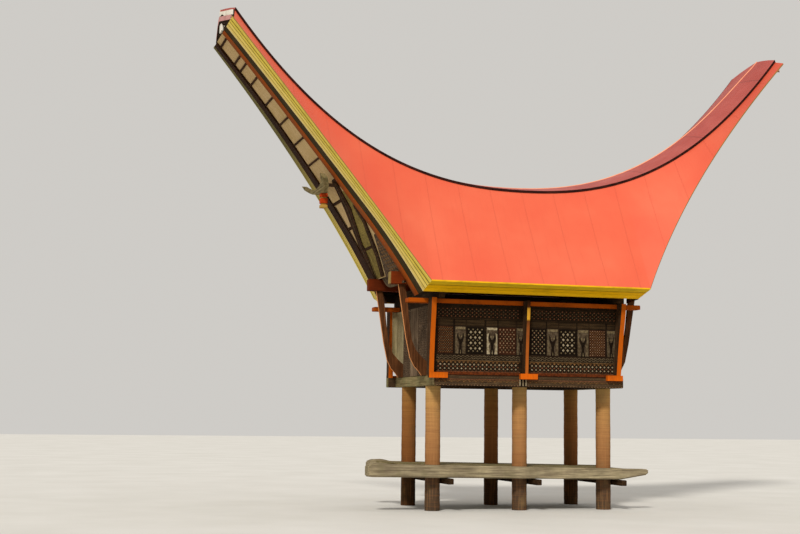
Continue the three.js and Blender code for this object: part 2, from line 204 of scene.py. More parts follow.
def roof_paint():
    """Salmon paint on wide sheets, with faint seams, clouds, streaks down the slope and a few rust spots;
    painted shade darkens it towards the right prow.
    """
    f = Finish("salmon_roof_paint", 0.35)
    x = f.part(f.place, 0)
    seam = f.every(x, 0.86, 0.02)
    streak = f.noise(3.0, 5.0, 0.6, (5.0, 0.5, 0.35))
    spot = f.node("TexVoronoi", {"Vector": f.place, "Scale": 2.6}).outputs["Distance"]
    f.base = f.ramp(f.noise(0.55), "0.3 de5a3d 0.5 e06142 0.72 e36a4a")
    f.wear(streak, 0.52, 0.78, 0.3, "d3553a")
    f.base = f.mix(f.ramp(spot, "0.0 0.5 0.035 0.0"), f.base, "b04630")
    f.base = f.mix(f.math("MULTIPLY", seam, 0.2), f.base, "c94f38")
    # Painted shade: the sheets grow darker towards the right prow's tip
    f.wear(f.math("DIVIDE", x, 8.0), 0.5, 0.8, 0.5, "b84030")
    return f.done(streak, 0.62, 0.48, f.math("SUBTRACT", f.math("MULTIPLY", streak, 0.15), seam), 0.004)


def cap_paint():
    """Rose paint on the folded cap, with laps along it and runs down its sides. Its tones are duller than the
    slopes' salmon: painted shade.
    """
    f = Finish("rose_cap_paint_painted_shade", 0.35)
    cloud = f.noise(1.4, 4.0)
    run = f.noise(3.0, stretch=(1.0, 6.0, 1.0))
    lap = f.every(f.part(f.place, 0), 1.72, 0.03)
    # Painted shade: the cap's tones are duller than the slopes' salmon
    f.base = f.ramp(cloud, "0.3 a8443a 0.55 b24a40 0.75 bc5548")
    f.wear(run, 0.5, 0.75, 0.4, "963c36")
    f.base = f.mix(f.math("MULTIPLY", lap, 0.5), f.base, "84342e")
    return f.done(cloud, 0.6, 0.45, f.math("SUBTRACT", run, lap), 0.004)


def course_paint(name, tones, joints, worn, dirt, joint_tone, fine, patch, dull, high_shade=None):
    """Boards in courses: tones and dark joints across them, brush marks along, and painted shade high up when
    a tone for it is given.
    """
    f = Finish(name)
    v = f.part(f.uv, 1)
    brush = f.noise(4.0, 4.0, stretch=(1.2, fine, 1.0), where=f.uv)
    f.base = f.ramp(v, tones)
    f.wear(brush, 0.48, 0.78, 0.5, worn)
    f.wear(f.noise(patch, 4.0), 0.5, 0.78, 0.4, dirt)
    joint = f.ramp(v, joints, True)
    f.base = f.mix(joint, f.base, joint_tone)
    # Painted shade: darker higher up
    if high_shade:
        f.wear(f.math("DIVIDE", f.part(f.place, 2), 12.0), 0.55, 0.78, 1.0, high_shade)
    return f.done(brush, dull, dull - 0.2, f.math("SUBTRACT", brush, joint), 0.004)


def edge_paint(name, high_shade=None):
    """Yellow edge boards in four courses, with a cream lower edge, and painted shade high up when a tone for
    it is given.
    """
    tones = "0.0 eed86a 0.09 e0c64c 0.2 ebd05c 0.3 f2d874 0.42 eacc6a 0.5 ecd89a 0.52 8a6b3a"
    joints = "0.0 0.0 0.1 1.0 0.13 0.0 0.22 0.9 0.25 0.0 0.355 0.7 0.38 0.0"
    return course_paint(name, tones, joints, "b0943a", "94843a", "57481a", 14.0, 3.0, 0.8, high_shade)


def rafter_paint():
    """Rafter boards: an olive black band outside, rust brown inside it, dark where the board turns up."""
    f = Finish("black_and_brown_rafter")
    fibre = f.noise(5.0, 5.0, stretch=(0.8, 14.0, 1.0), where=f.uv)
    f.base = f.ramp(f.part(f.uv, 1), "0.0 2e2612 0.03 3f3520 0.23 3a311c 0.24 1c1006 0.255 a35016 "
                    "0.44 94481a 0.5 743c18 0.52 2a1a10")
    f.wear(fibre, 0.4, 0.75, 0.5, "2a1c12")
    f.wear(f.noise(3.2, 4.0), 0.5, 0.72, 0.35, "5c4a34")
    return f.done(fibre, 0.9, 0.66, fibre, 0.004)


def bamboo_panel():
    """Split bamboo matting: narrow strips that run along the prow, with nodes and dark stains."""
    f = Finish("split_bamboo_panel")
    strip = f.noise(3.0, stretch=(0.7, 40.0, 1.0), where=f.uv)
    f.base = f.ramp(strip, "0.3 a88c5c 0.5 c0a274 0.7 d6bf94")
    f.wear(f.noise(1.5, 2.0, stretch=(9.0, 22.0, 1.0), where=f.uv), 0.56, 0.68, 0.5, "8c7440")
    f.wear(f.noise(2.0, 4.0), 0.45, 0.75, 0.5, "a58a50")
    return f.done(strip, 0.9, 0.7, strip, 0.004)


def post_wood():
    """Palm trunks: rust brown with faint rings, greyer and darker near the ground, chalky at the top; the far
    row is darkened with painted shade.
    """
    f = Finish("palm_post_wood")
    ring = f.noise(2.2, 4.0, 0.6, (0.6, 0.6, 16.0))
    fibre = f.noise(2.0, 4.0, stretch=(14.0, 14.0, 0.8))
    height = f.math("DIVIDE", f.part(f.place, 2), SILL_LOW)
    f.base = f.ramp(height, "0.0 42362a 0.26 564232 0.34 94663f 0.62 a57648 0.85 b0844e 1.0 b5935a")
    f.wear(ring, 0.42, 0.7, 0.5, "7c5234")
    f.wear(fibre, 0.5, 0.72, 0.3, "c48e5a")
    f.wear(f.noise(2.6, 4.0), 0.55, 0.75, 0.45, "86704c")
    # Painted shade: the far row of posts, under the platform, is darker
    far_row_shade = f.math("GREATER_THAN", f.part(f.place, 1), 0.0)
    f.base = f.mix(far_row_shade, f.base, "ccbca8", "MULTIPLY")
    return f.done(ring, 0.9, 0.7, f.math("ADD", ring, fibre), 0.006)


def sill_wood():
    f = Finish("carved_sill")
    fibre = f.noise(4.0, 4.0, stretch=(0.8, 4.0, 9.0))
    patch = f.noise(3.0, 4.0)
    f.base = f.ramp(fibre, "0.3 33251a 0.6 4a3826 0.75 655038")
    f.wear(patch, 0.42, 0.7, 0.5, "41301f")
    return f.done(patch, 0.9, 0.75, fibre, 0.006)


def carved_ground(name, deep, mid, pale):
    """The wall behind the carving: dark boards with a net of fine cut lines."""
    f = Finish(name)
    x, z = f.part(f.place, 0), f.part(f.place, 2)
    slants = (f.math("DIVIDE", f.math(way, x, z), 0.03) for way in ("ADD", "SUBTRACT"))
    net = f.math("MULTIPLY", *(f.math("PINGPONG", slant, 1.0) for slant in slants))
    fibre = f.noise(4.0, 4.0, stretch=(0.8, 4.0, 9.0))
    f.base = f.ramp(fibre, f"0.3 {deep} 0.6 {mid} 0.75 {pale}")
    f.wear(net, 0.45, 0.8, 0.3, pale)
    f.wear(f.noise(2.4, 4.0), 0.45, 0.7, 0.5, deep)
    return f.done(fibre, 0.92, 0.75, f.math("ADD", fibre, net), 0.005)


def bracket_paint(name, stops):
    """Paint on a bracket that changes with height: the stops go from its foot to the plate."""
    f = Finish(name)
    brush = f.noise(4.0, 4.0, stretch=(9.0, 9.0, 0.8))
    height = f.math("SUBTRACT", f.part(f.place, 2), BRACKET_LOW)
    f.base = f.ramp(f.math("DIVIDE", height, BRACKET_TALL), stops)
    f.wear(brush, 0.45, 0.75, 0.45, "8a4416")
    f.wear(f.noise(4.0, 4.0), 0.55, 0.75, 0.4, "6a3a1c")
    return f.done(brush, 0.85, 0.65, brush, 0.004)


def carved_paint(name, pale, deep):
    """Paint left on raised carving, rubbed through in fine specks."""
    f = Finish(name)
    speck = f.noise(24.0, 4.0, 0.6)
    f.base = deep
    f.wear(speck, 0.38, 0.66, 1.0, pale)
    f.wear(f.noise(3.0), 0.45, 0.75, 0.45, deep)
    return f.done(speck, 0.85, 0.7, speck, 0.003)


FINISH = {
    "roof": roof_paint(),
    "cap": cap_paint(),
    "edge": edge_paint("layered_yellow_boards"),
    # The far side's boards are a copy with painted shade higher up
    "far_edge": edge_paint("far_yellow_boards_painted_shade", "6d6436"),
    # The inner courses (0.34 to 0.5 across) are painted brighter: painted light where the eave's underside
    # gets little light
    "eave": course_paint(
        "olive_mustard_eave", "0.0 d0b024 0.14 d8b01c 0.2 e0ac0c 0.34 f4bc0c 0.44 fcc418 0.5 ecb41c",
        "0.0 0.0 0.165 0.8 0.185 0.0 0.31 0.4 0.325 0.0", "8c7a14", "86700e", "5a4810", 16.0, 2.0, 0.85),
    "rafter": rafter_paint(),
    "bamboo": bamboo_panel(),
    "post": post_wood(),
    "sill": sill_wood(),
    "orange": bracket_paint("orange_bracket", "0.0 cf5f0c 0.07 ba5608 0.5 b65408 1.0 a64e08"),
    "faded_orange": bracket_paint("faded_orange_bracket", "0.0 cf5f0c 0.07 cf5f0c 0.08 a85a20 0.35 a0541c "
                                  "0.6 904e20 0.74 5e3416 0.765 cf9c2c 0.9 c49230 0.915 3e2412 1.0 2e1a0c"),
}
# Each line: key, name, axis of the grain (0 along, 1 across, 2 upright), then the tones pale, mid, dark, moss
TIMBERS = """
    under dark_roof_underside 0 4a3826 33261a 1c130c
    cap_rim dark_cap_rim 0 4a241c 361a16 1e0e0c
    far_rafter dark_far_rafter 0 4a2e18 38200f 1e1008
    batten dark_batten 1 52341c 3e2614 22140a
    bracket_side dark_bracket_side 2 5a4634 43301f 2a1c12
    bracket_brown brown_carved_bracket 2 7a4c2c 5c3820 38200f
    beam_end pale_beam_end 2 b9a06a a08850 6a5530
    grey_x weathered_grey_along 0 b5a478 968762 5f533a 7d8058
    grey_y weathered_grey_across 1 a8966c 857752 55492f 74744e
    grey_z weathered_grey_upright 2 9c866a 786450 46362a 6c5e46
    pale_z pale_board_upright 2 c4b690 a89a74 75684a
    dark dark_stained_timber 1 4c3824 38281a 20150c
    olive_matting olive_matting 0 a8944c 887640 4c4020
    plank weathered_plank 0 bcae8c 988a6e 5f5444 746c50
"""
# Key, name, axis of the brush marks, body, worn, dirt
PAINTS = """
    crest bright_crest 0 f2a27e f6b592 d9725a
    orange_plate orange_plate_paint 0 a04808 ac520c 642f0a
    pink_end dull_pink_plate_end 0 a0705c b08270 7a5040
    peach peach_edge 2 d98f55 e5a570 b06f3c
    beam red_brown_beam 0 5f240c 6e2c10 3c1808
    beam_side dark_red_beam_side 0 6e2a0c 7c3410 3e1a08
    block red_block 2 a83610 b6471a 6c220a
    gilt gilt_rings 0 a8823a bc9850 705420
    pink_board dusty_rose_board 1 c48e8a d0a09a 96605c
    white_board white_end_board 1 e6e0d2 f0ece2 b0a48c
    rod pale_rod 2 b9a488 cbb8a0 8a765a
"""
# Key, name, deep, mid, pale
GROUNDS = """
    ground carved_wall_ground 1a110a 2b1f14 3e2f1e
    near_black near_black_ground 0f0a06 181009 241a10
    red_ground red_brown_ground 26140b 3a2012 4c2c1a
    board plain_brown_board 241a0f 382a1a 4c3a26
    gable_carving grey_gable_carving 2c2119 62503e 8a745c
"""
# Key, name, pale, deep
CARVINGS = """
    white chalk_white_carving b0a48a 786a50
    cream cream_carving 7e7054 50432f
    pink faded_red_carving 85583e 50321f
    sand sand_carving 8e6840 543a20
    pale_pink pale_pink_carving a88a6c 6e5038
    grey_carving grey_carving 6a5c46 403424
    figure_ground grey_figure_ground 5c4f3e 382c20
    black soot_black_carving 241a10 120b06
    red red_brown_carving 743818 44200f
"""
for make, lines in ((weathered_timber, TIMBERS), (painted_board, PAINTS), (carved_ground, GROUNDS),
                    (carved_paint, CARVINGS)):
    for line in lines.strip().splitlines():
        key, *given = line.split()
        FINISH[key] = make(*given)

# The finishes of the carved pieces, and the number of each among them
LOOKS = ("ground near_black red_ground board white cream pink sand grey_carving black red figure_ground "
         "pale_pink")
LOOK = {name: i for i, name in enumerate(LOOKS.split())}


# ---- making pieces ----

def placed(name, data):
    obj = bpy.data.objects.new(name, data)
    bpy.context.scene.collection.objects.link(obj)
    return obj


def inside_out(points, faces):
    """Whether the faces of a closed part look inward."""
    volume = 0.0
    for face in faces:
        for i in range(1, len(face) - 1):
            a, b, c = (Vector(points[k]) for k in (face[0], face[i], face[i + 1]))
            volume += a.dot(b.cross(c))
    return volume < 0


def piece(name, points, faces, finish, replaces=(), uv=None, smooth=35.0, looks=None):
    """A mesh that rides on the barn, flat where its faces meet at more than a set angle."""
    mesh = bpy.data.meshes.new(name)
    mesh.from_pydata([tuple(Vector(p) + MIDDLE_X) for p in points], [], faces)
    if uv is not None:
        layer = mesh.uv_layers.new(name="UVMap")
        for loop, place in zip(layer.data, uv):
            loop.uv = place
    if inside_out(points, faces):
        mesh.flip_normals()
    if looks:
        mesh.polygons.foreach_set("material_index", looks)
    mesh.shade_smooth()
    mesh.set_sharp_from_angle(angle=math.radians(smooth))
    for f in finish.split():
        mesh.materials.append(FINISH[f])
    obj = placed(name, mesh)
    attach(obj, "root")
    if replaces:
        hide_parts(*replaces)


def loft(sections, across=None):
    """Closed outlines of equal point count joined along a path: points, faces and UVs, v running round."""
    count, last = len(sections[0]), len(sections) - 1
    across = across or [i / count for i in range(count + 1)]
    along = [0.0]
    for a, b in zip(sections, sections[1:]):
        along.append(along[-1] + (b[0] - a[0]).length)
    points = [p for section in sections for p in section]
    faces, uv = [], []
    for s in range(last):
        for i in range(count):
            j = (i + 1) % count
            faces.append((s * count + i, s * count + j, (s + 1) * count + j, (s + 1) * count + i))
            uv += [(along[s + b], across[i + a]) for a, b in ((0, 0), (1, 0), (1, 1), (0, 1))]
    for s, way in ((0, -1), (last, 1)):
        faces.append(tuple(s * count + i for i in range(count))[::way])
        uv += [(along[s], across[i]) for i in range(count)][::way]
    return points, faces, uv


class Shape:
    """Points and faces gathered from several closed parts, with the look of each face.

    Carving lies on a long wall: hand is -1 on the near side, and wall is how far the wall stands out."""

    def __init__(self, hand=1, wall=WALL_Y):
        self.points, self.faces, self.looks = [], [], []
        self.hand, self.wall = hand, wall

    def add(self, points, faces, look=0):
        """Adds a closed part with its faces turned outward. A look is a number, or a name from LOOKS."""
        if inside_out(points, faces):
            faces = [face[::-1] for face in faces]
        start = len(self.points)
        self.points += [Vector(p) for p in points]
        self.faces += [tuple(start + i for i in face) for face in faces]
        self.looks += [LOOK.get(look, look)] * len(faces)
        return self

    def block(self, low, high, look=0, edge=0.006):
        """A block with its edges eased."""
        bm = bmesh.new()
        bmesh.ops.create_cube(bm, size=1.0)
        size = [high[i] - low[i] for i in range(3)]
        for v in bm.verts:
            v.co = Vector(low[i] + (v.co[i] + 0.5) * size[i] for i in range(3))
        bmesh.ops.bevel(bm, geom=bm.edges[:], offset=min(edge, 0.3 * min(size)), segments=1, affect="EDGES")
        return self.add(*taken(bm), look)

    def plate(self, outline, along, low, high, look=0):
        """An outline in a plane square to an axis (0 for X, 1 for Y, 2 for Z), given thickness along it."""
        count = len(outline)
        points = [(*p[:along], d, *p[along:]) for d in sorted((low, high)) for p in outline]
        faces = [(i, (i + 1) % count, count + (i + 1) % count, count + i) for i in range(count)]
        faces += [tuple(range(count))[::-1], tuple(range(count, 2 * count))]
        return self.add(points, faces, look)

    def loft(self, sections, look=0):
        return self.add(*loft(sections)[:2], look)

    def make(self, name, finish, slot, replaces=(), smooth=35.0):
        return piece(name, self.points, self.faces, finish, replaces, None, smooth, self.looks)

    def relief(self, outline, depth, look=0):
        """A flat raised piece on the wall, from its outline in X and Z."""
        back, front = self.hand * (self.wall - SUNK), self.hand * (self.wall + depth)
        return self.plate(outline, 1, back, front, look)

    def ribbon(self, path, width, depth, look=0):
        """A raised band of even width along a path in X and Z on the wall."""
        sections = []
        for i, (x, z) in enumerate(path):
            a, b = path[max(i - 1, 0)], path[min(i + 1, len(path) - 1)]
            run = Vector((b[0] - a[0], b[1] - a[1])).normalized() * width / 2
            low, high = (x + run.y, z - run.x), (x - run.y, z + run.x)
            sections.append([Vector((px, self.hand * (self.wall + d), pz))
                             for (px, pz), d in ((low, -SUNK), (high, -SUNK), (high, depth), (low, depth))])
        return self.loft(sections, look)

    def rows(self, x, z, grid, size, look, relief, lift=0.0, corners=4, spin=0.0):
        """Columns and rows of small pointed shapes, set out by the node tree on the wall."""
        points, faces = lozenge_points(
            Length=abs(x[1] - x[0]), Height=abs(z[1] - z[0]), Columns=grid[0], Rows=grid[1], Corners=corners,
            Spin=spin, Wide=size[0], Tall=size[1], Relief=relief + SUNK, Turn=(math.pi / 2, 0.0, 0.0),
            Middle=((x[0] + x[1]) / 2, SUNK - (self.wall + lift), (z[0] + z[1]) / 2), Finish=FINISH["white"])
        return self.add([(p.x, -self.hand * p.y, p.z) for p in points], faces, look)


def taken(bm):
    """The points and faces of a worked mesh, which is then given up."""
    bm.verts.index_update()
    points = [v.co.copy() for v in bm.verts]
    faces = [tuple(v.index for v in f.verts) for f in bm.faces]
    bm.free()
    return points, faces


# The inputs, nodes and links of the tree that sets out rows of small shapes
TREE_INPUTS = {"Geometry": "Geometry", "Int": "Columns Rows Corners", "Material": "Finish",
               "Float": "Length Height Wide Tall Relief Spin", "Vector": "Middle Turn"}
TREE_NODES = {"start": "NodeGroupInput", "end": "NodeGroupOutput", "grid": "GeometryNodeMeshGrid",
              "cone": "GeometryNodeMeshCone", "spread": "GeometryNodeInstanceOnPoints",
              "spun shape place": "GeometryNodeTransform", "spin size": "ShaderNodeCombineXYZ",
              "whole": "GeometryNodeRealizeInstances", "coat": "GeometryNodeSetMaterial"}
TREE_LINKS = """
    start, Length, grid, Size X
    start, Height, grid, Size Y
    start, Columns, grid, Vertices X
    start, Rows, grid, Vertices Y
    start, Corners, cone, Vertices
    start, Wide, size, X
    start, Tall, size, Y
    start, Relief, size, Z
    start, Spin, spin, Z
    cone, Mesh, spun, Geometry
    spin, Vector, spun, Rotation
    spun, Geometry, shape, Geometry
    size, Vector, shape, Scale
    grid, Mesh, spread, Points
    shape, Geometry, spread, Instance
    spread, Instances, place, Geometry
    start, Turn, place, Rotation
    start, Middle, place, Translation
    place, Geometry, whole, Geometry
    whole, Geometry, coat, Geometry
    start, Finish, coat, Material
    coat, Geometry, end, Geometry
"""


def grid_tree():
    """A node tree that puts a small flat-topped cone on each point of a grid and lays the whole on a wall."""
    tree = bpy.data.node_groups.new("rows_of_lozenges", "GeometryNodeTree")
    for kind, names in TREE_INPUTS.items():
        for name in names.split():
            tree.interface.new_socket(name, in_out="INPUT", socket_type="NodeSocket" + kind)
    tree.interface.new_socket("Geometry", in_out="OUTPUT", socket_type="NodeSocketGeometry")
    nodes = {name: tree.nodes.new(kind) for names, kind in TREE_NODES.items() for name in names.split()}
    for key, value in (("Radius Top", 0.25), ("Radius Bottom", 0.5), ("Depth", 1.0)):
        nodes["cone"].inputs[key].default_value = value
    for line in TREE_LINKS.strip().splitlines():
        a, give, b, take = line.strip().split(", ")
        tree.links.new(nodes[a].outputs[give], nodes[b].inputs[take])
    return tree


LOZENGES = grid_tree()


def lozenge_points(**values):
    """The mesh that the tree gives for one set of values."""
    mesh = bpy.data.meshes.new("lozenge_base")
    obj = placed("lozenge_base", mesh)
    mod = obj.modifiers.new("rows", "NODES")
    mod.node_group = LOZENGES
    for item in LOZENGES.interface.items_tree:
        if item.in_out == "INPUT" and item.name in values:
            mod[item.identifier] = values[item.name]
    made = bpy.data.meshes.new_from_object(obj.evaluated_get(bpy.context.evaluated_depsgraph_get()))
    points = [v.co.copy() for v in made.vertices]
    faces = [tuple(p.vertices) for p in made.polygons]
    bpy.data.objects.remove(obj)
    for used in (made, mesh):
        bpy.data.meshes.remove(used)
    return points, faces


# ---- roof ----

def spaced(n, low, high):
    return [low + (high - low) * i / n for i in range(n + 1)]


def cap_edge(x):
    """The level of the cap's lower edge."""
    m, (a, b, c) = abs(x), CAP_CURVE
    return CAP_MID + a * m ** 2 + b * m ** 3 - c * m ** 4


class Station:
    """Where a section of the roof stands: t is 0 at the eave corner and 1 at the prow's tip."""

    def __init__(self, t, side, share=0.0):
        a, b = REACH[side]
        self.x = side * (EAVE_X + a * t + b * t * t) if t > 0 else share * EAVE_X
        self.yg = EAVE_Y - EDGE_IN[0] * t + EDGE_IN[1] * t * t
        self.zg = EAVE_Z + EDGE_UP[0] * t + EDGE_UP[1] * t * t
        self.lean, self.cap_lean = side * LEAN * (t + t ** 6), side * LEAN * t
        self.nose = side * NOSE[side] * min(t, 1.0) ** 12
        self.zr = cap_edge(self.x)
        for _ in range(24):
            self.zr = cap_edge(self.x + self.cap_lean * (self.zg - self.zr))
        corner = max(0.0, 1 - t / CORNER_END) ** 2
        self.dy = EDGE_WIDE[0] - EDGE_WIDE[1] * t + EDGE_WIDE[2] * corner
        self.dz = EDGE_FALL[0] + EDGE_FALL[1] * t + EDGE_FALL[2] * corner
        self.inward = RAFTER_WIDE[0] - RAFTER_WIDE[1] * t
        self.root = RIDGE_THICK[0] - RIDGE_THICK[1] * t
        # Inner edge of the edge board, then half the panel's width and its level
        self.yi, self.zi = self.yg - self.dy, self.zg - self.dz
        self.half, self.level = self.yi - self.inward - 0.0025, self.zi - RAFTER_DROP + RECESS

    def at(self, y, z):
        if z <= self.zg:
            return Vector((self.x + self.lean * (self.zg - z), y, z))
        out = self.nose * max(0.0, 1 - abs(y) / CAP_HALF)
        return Vector((self.x + self.cap_lean * (self.zg - min(z, self.zr)) + out, y, z))


def prow(side, start=0.0, end=BOARD_END):
    return [Station(t, side) for t in spaced(44, max(start, 1e-4), end[side])]


MIDDLE = [Station(0.0, -1 if s < 0 else 1, s) for s in spaced(24, -1.0, 1.0)]
WHOLE = prow(-1, end=SHEET_END)[::-1] + MIDDLE + prow(1, end=SHEET_END)


def start_at(level):
    """The t at which the low edge of the rafter boards has risen to a level."""
    low, high = 0.0, 1.0
    for _ in range(30):
        t = (low + high) / 2
        p = Station(t, -1)
        low, high = (t, high) if p.zi - RAFTER_DROP < level else (low, t)
    return high


PANEL_START = start_at(BEAM_TOP + GAP - RECESS)


def outer_slope(p, s):
    """A point of the slope's face, which sags a little: s is 0 at the cap and 1 at the eave."""
    top = (CAP_HALF - 0.02, p.zr - CAP_THICK - 0.002)
    low = (p.yg, p.zg + BOARD)
    sag = -0.02 * math.sin(math.pi * s) * min(1.0, (p.zr - p.zg) / 2.5)
    return top[0] + (low[0] - top[0]) * s + sag, top[1] + (low[1] - top[1]) * s + sag * 0.5


def slope_outline(p):
    face = [outer_slope(p, s) for s in spaced(8, 0.0, 1.0)]
    inner = [(p.yi, p.zi + BOARD), (0.79, max(p.zr - 0.3, p.zi + 0.11)), (0.0, p.zr + CAP_RISE - p.root)]
    return [(0.0, p.zr + CAP_RISE - CAP_THICK - 0.002)] + face + inner


def cap_outline(p):
    half, rise = CAP_HALF - 0.012, CAP_RISE - 0.018
    shape = [(0.04, 0.99), (0.33, 0.75), (0.66, 0.42), (1.0, 0.0)]
    shape = [(-s, r) for s, r in reversed(shape)] + shape
    top = [(s * half, p.zr - 0.004 + rise * r) for s, r in shape]
    return top + [(half, p.zr - 0.045), (0.0, p.zr + rise - 0.05), (-half, p.zr - 0.045)]


# The bright bead along the cap's fold is a painted highlight
def crest_outline(p):
    radius, turns = 0.03, (-1.8, -1.1, -0.5, 0.0, 0.5, 1.1, 1.8)
    return [(0.032 * math.sin(a), p.zr + CAP_RISE - radius + radius * math.cos(a)) for a in turns]


# A dark strip at the cap's lower edge: painted shade for the cap's shaded edge
def rim_outline(p):
    return [(CAP_HALF - 0.02, p.zr - CAP_THICK), (CAP_HALF, p.zr - CAP_THICK), (CAP_HALF, p.zr),
            (CAP_HALF - 0.02, p.zr + 0.003)]


# Courses of the edge boards: share across, height above the board's under face
COURSES = [(0.0, 0.0), (0.22, 0.0), (0.225, 0.014), (0.245, 0.014), (0.25, 0.005), (0.45, 0.005),
           (0.455, 0.018), (0.475, 0.018), (0.48, 0.009), (0.73, 0.009), (0.735, 0.02), (0.75, 0.02),
           (0.755, 0.012), (1.0, 0.012)]
COURSE_V = [0.5 * s for s, _ in COURSES] + [0.56, 0.98, 1.0]


def course_outline(p):
    return [(p.yg - p.dy * s, p.zg - p.dz * s + lift) for s, lift in COURSES + [(1.0, BOARD), (0.0, BOARD)]]


RAFTER_V = [0.0, 0.03, 0.235, 0.245, 0.5, 0.6, 0.7, 1.0]


def rafter_outline(p):
    y, z, low, top = p.yi, p.zi, p.zi - 0.5 * RAFTER_DROP, p.level + PANEL_THICK
    half, inner = y - 0.5 * p.inward, y - p.inward
    return [(y, z + BOARD), (y, z), (half + 0.005, low + 0.006), (half, low), (inner, z - RAFTER_DROP),
            (inner, top), (inner + 0.055, top)]


PANEL_V = [i / 12 for i in range(13)] + [1.02, 1.5, 1.52]


def panel_outline(p):
    y, z, top = p.half, p.level, p.level + PANEL_THICK
    return [(y * s, z) for s in spaced(12, -1.0, 1.0)] + [(y, top), (-y, top)]


def along_roof(name, stations, outline, hand, finish, replaces=(), across=None, inner=None,
               smooth=35.0):
    """A piece of the roof. The edges of its outline from number inner on take the second finish."""
    sections = [[p.at(hand * y, z) for y, z in outline(p)] for p in stations]
    points, faces, uv = loft(sections, across)
    looks = None
    if inner is not None:
        looks = [1 if i % len(sections[0]) >= inner else 0 for i in range(len(faces) - 2)] + [1, 1]
    piece(name, points, faces, finish, replaces, uv, smooth, looks)


def roof():
    caps = ("ridge_cap_left", "ridge_cap_right")
    along_roof("cap_sheet", WHOLE, cap_outline, 1, "cap", caps, smooth=20.0)
    # Painted highlight: a bright bead along the cap's fold
    along_roof("crest_highlight_bead", WHOLE, crest_outline, 1, "crest")
    for name, hand in SIDES:
        # Painted shade: a dark strip along each edge of the cap
        along_roof(f"cap_rim_{name}", WHOLE, rim_outline, hand, "cap_rim")
        along_roof(f"slope_{name}", WHOLE, slope_outline, hand, "roof under",
                   (f"roof_slope_{name}",), inner=10)
        along_roof(f"eave_courses_{name}", MIDDLE, course_outline, hand, "eave",
                   (f"eave_board_{name}",), COURSE_V)
        # Painted shade: the far side takes darker copies, with the edge boards darker high up and the rafters
        # dark all over
        edge, rafter = ("edge", "rafter") if hand < 0 else ("far_edge", "far_rafter")
        for end, side in ENDS:
            along_roof(f"edge_courses_{end}_{name}", prow(side), course_outline, hand, edge,
                       (f"edge_board_{end}_{name}",), COURSE_V)
            along_roof(f"rafter_{end}_{name}", prow(side), rafter_outline, hand, rafter,
                       (f"rafter_board_{end}_{name}",), RAFTER_V)
    for end, side in ENDS:
        along_roof(f"bamboo_panel_{end}", prow(side, PANEL_START), panel_outline, 1, "bamboo",
                   (f"gable_panel_{end}",), PANEL_V)


# Where the dark battens cross the matting of a prow, and a batten's section
BATTENS = (0.988, 0.924, 0.896, 0.844, 0.768, 0.692, 0.613, 0.532)
BATTEN = ((-0.028, 0.0), (0.028, 0.0), (0.022, 0.035), (-0.022, 0.035))


def battens(end, side):
    shape = Shape()
    for t in BATTENS:
        p, q = Station(t, side), Station(t + 0.002, side)
        start = p.at(0.0, p.level)
        run = (q.at(0.0, q.level) - start).normalized()
        out = Vector((side * run.z, 0.0, -abs(run.x)))
        half = p.half - 0.004
        shape.loft([[start + run * u + out * w + Vector((0, y, 0)) for u, w in BATTEN]
                    for y in (-half, half)])
    shape.make(f"cross_battens_{end}", "batten", "dark_timber")


# The lower gable, as rows of (t, near side, far side): dark battens that fan out, with matting between them
FAN = (
    [(0.45, -0.72, -0.36), (0.41, -0.56, -0.19), (0.343, -0.40, 0.16), (0.30, -0.06, 0.43),
     (0.218, 0.53, 0.90), (0.19, 0.61, 1.04), (0.13, 0.92, 1.12), (0.089, 1.09, 1.16)],
    [(0.345, -0.84, -0.70), (0.285, -0.86, -0.62), (0.199, -0.42, -0.11), (0.165, -0.25, 0.04),
     (0.09, 0.28, 0.58)],
)
THIN_FAN = (
    [(0.37, 0.745, 0.765), (0.28, 0.90, 0.92), (0.212, 1.0, 1.02)],
    [(0.17, 0.63, 0.645), (0.09, 1.01, 1.025)],
)
OLIVE = [(0.40, -0.78, -0.50), (0.345, -0.84, -0.3), (0.285, -0.72, 0.1), (0.2, -0.2, 0.62),
         (0.165, -0.06, 0.86), (0.085, 0.5, 1.12)]
CROSS_PIECES = ((0.379, 0.0, 0.78), (0.28, 0.46, 0.92), (0.193, -0.05, 0.6))
CARVED_BOARD = [(0.225, -1.02, -0.78), (0.16, -1.08, -0.34), (0.08, -1.18, 0.22)]


def on_gable(shape, side, rows, thick, look=0, lift=0.0):
    """A flat piece on the underside of a prow, through rows of (t, near side, far side)."""
    sections = []
    for t, y0, y1 in sorted(rows):
        p = Station(t, side)
        y0, y1, z = max(y0, -p.half), min(y1, p.half), p.level - lift
        sections.append([p.at(y0, z), p.at(y1, z), p.at(y1, z - thick), p.at(y0, z - thick)])
    shape.loft(sections, look)


def fan(end, side):
    shape = Shape()
    for rows in FAN:
        on_gable(shape, side, rows, 0.05)
        seam = [(t, y0 + 0.46 * (y1 - y0), y0 + 0.54 * (y1 - y0)) for t, y0, y1 in rows]
        on_gable(shape, side, seam, 0.012, 1, 0.05)
    for rows in THIN_FAN:
        on_gable(shape, side, rows, 0.03, 1)
    on_gable(shape, side, OLIVE, 0.012, 2)
    for t, y0, y1 in CROSS_PIECES:
        on_gable(shape, side, [(t - 0.004, y0, y1), (t + 0.004, y0, y1)], 0.03)
    shape.make(f"fan_battens_{end}", "batten grey_carving olive_matting", "dark_timber")


# The lintel between the long beams, as (Y, Z): its lower edge and its upper edge
LINTEL_LOW = [(0.82, 5.95), (0.71, 5.885), (0.48, 5.75), (0.30, 5.661), (0.10, 5.6), (-0.08, 5.572),
              (-0.55, 5.567), (-1.0, 5.575), (-1.32, 5.59)]
LINTEL_HIGH = [(-1.32, 5.63), (-1.178, 5.622), (-1.17, 5.86), (0.60, 5.95)]
LINTEL_X, LINTEL_FRONT = 3.10, 3.14


